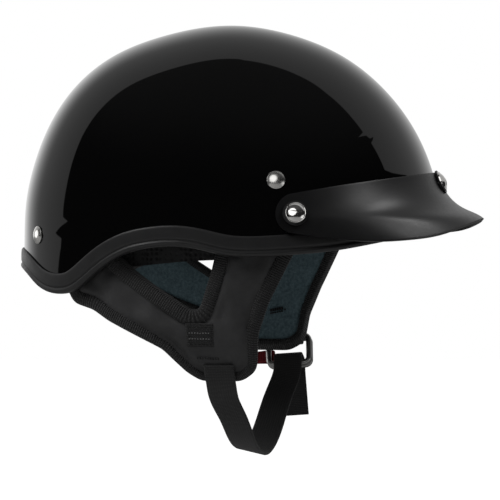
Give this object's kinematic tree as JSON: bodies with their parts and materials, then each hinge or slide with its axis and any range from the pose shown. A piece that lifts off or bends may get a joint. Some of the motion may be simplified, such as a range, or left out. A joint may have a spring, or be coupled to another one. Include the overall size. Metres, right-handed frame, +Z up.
{
  "type": "half shell helmet",
  "caption": "Open half shell helmet with a flared visor, an edge trim, a foam liner, soft ear pads and a webbing chin strap with a double ring buckle.",
  "frame": {"origin": "in the helmet's centre plane, in the head opening, about level with the brow", "axes": "+X forward over the visor, +Y to the wearer's left, +Z up"},
  "size_m": [0.3143, 0.2312, 0.2912],
  "materials": {
    "shell_paint": "gloss black clear-coated paint",
    "trim_rubber": "satin black rubber edge trim",
    "liner_foam": "black expanded foam with a fine bead texture",
    "comfort_cloth": "black brushed cloth over foam",
    "comfort_mesh": "black open knit mesh over foam",
    "visor_plastic": "satin black moulded plastic",
    "screw_chrome": "polished chrome",
    "washer_rubber": "black rubber",
    "nut_steel": "plated steel",
    "rivet_nickel": "satin nickel",
    "pad_leather": "charcoal synthetic leather, fine grain",
    "lining_fleece": "dark teal fleece",
    "binding_knit": "black knit binding tape",
    "patch_webbing": "black webbing with box stitches",
    "webbing": "black polyester webbing",
    "ring_steel": "dark plated steel",
    "tab_webbing": "red webbing"
  },
  "bodies": {
    "helmet": {"outer_shell": "shell_paint", "edge_trim": "trim_rubber", "impact_liner": "liner_foam", "crown_pad": "comfort_cloth", "brow_pad": "comfort_cloth", "nape_pad": "comfort_mesh", "visor_peak": "visor_plastic", "visor_screw_front": "screw_chrome", "visor_washer_front": "washer_rubber", "visor_nut_front": "nut_steel", "visor_screw_right": "screw_chrome", "visor_washer_right": "washer_rubber", "visor_nut_right": "nut_steel", "visor_screw_left": "screw_chrome", "visor_washer_left": "washer_rubber", "visor_nut_left": "nut_steel", "strap_rivet_front_right": "rivet_nickel", "rivet_burr_front_right": "nut_steel", "strap_front_right": "webbing", "strap_rivet_front_left": "rivet_nickel", "rivet_burr_front_left": "nut_steel", "strap_front_left": "webbing", "strap_rivet_rear_right": "rivet_nickel", "rivet_burr_rear_right": "nut_steel", "strap_rear_right": "webbing", "strap_rivet_rear_left": "rivet_nickel", "rivet_burr_rear_left": "nut_steel", "strap_rear_left": "webbing", "ear_pad_right": "pad_leather", "ear_lining_right": "lining_fleece", "ear_binding_right": "binding_knit", "strap_patch_right": "patch_webbing", "ear_pad_left": "pad_leather", "ear_lining_left": "lining_fleece", "ear_binding_left": "binding_knit", "strap_patch_left": "patch_webbing", "strap_anchor": "webbing", "buckle_strap": "webbing"},
    "chin_strap": {"chin_strap": "webbing"},
    "strap_tail": {"strap_tail": "webbing"},
    "buckle_rings": {"d_ring_inner": "ring_steel", "d_ring_outer": "ring_steel"},
    "release_tab": {"release_tab": "tab_webbing"}
  },
  "joints": [
    {"name": "chin_strap_swing", "type": "hinge", "parent": "helmet", "child": "chin_strap", "pos_m": [0.0085, -0.07919, -0.10277], "axis": [0.0695, 0.9966, 0.0452], "range_deg": [-4, 12]},
    {"name": "strap_tail_lift", "type": "hinge", "parent": "chin_strap", "child": "strap_tail", "pos_m": [0.021, 0.10306, -0.10082], "axis": [0.9962, 0.0347, 0.08], "range_deg": [0, 80]},
    {"name": "buckle_rock", "type": "hinge", "parent": "helmet", "child": "buckle_rings", "pos_m": [0.019, 0.10439, -0.07653], "axis": [0.9962, 0.0347, 0.08], "range_deg": [-3, 3]},
    {"name": "release_tab_flip", "type": "hinge", "parent": "buckle_rings", "child": "release_tab", "pos_m": [0.00562, 0.10187, -0.09011], "axis": [0.0872, -0.3965, -0.9139], "range_deg": [-5, 70]}
  ]
}
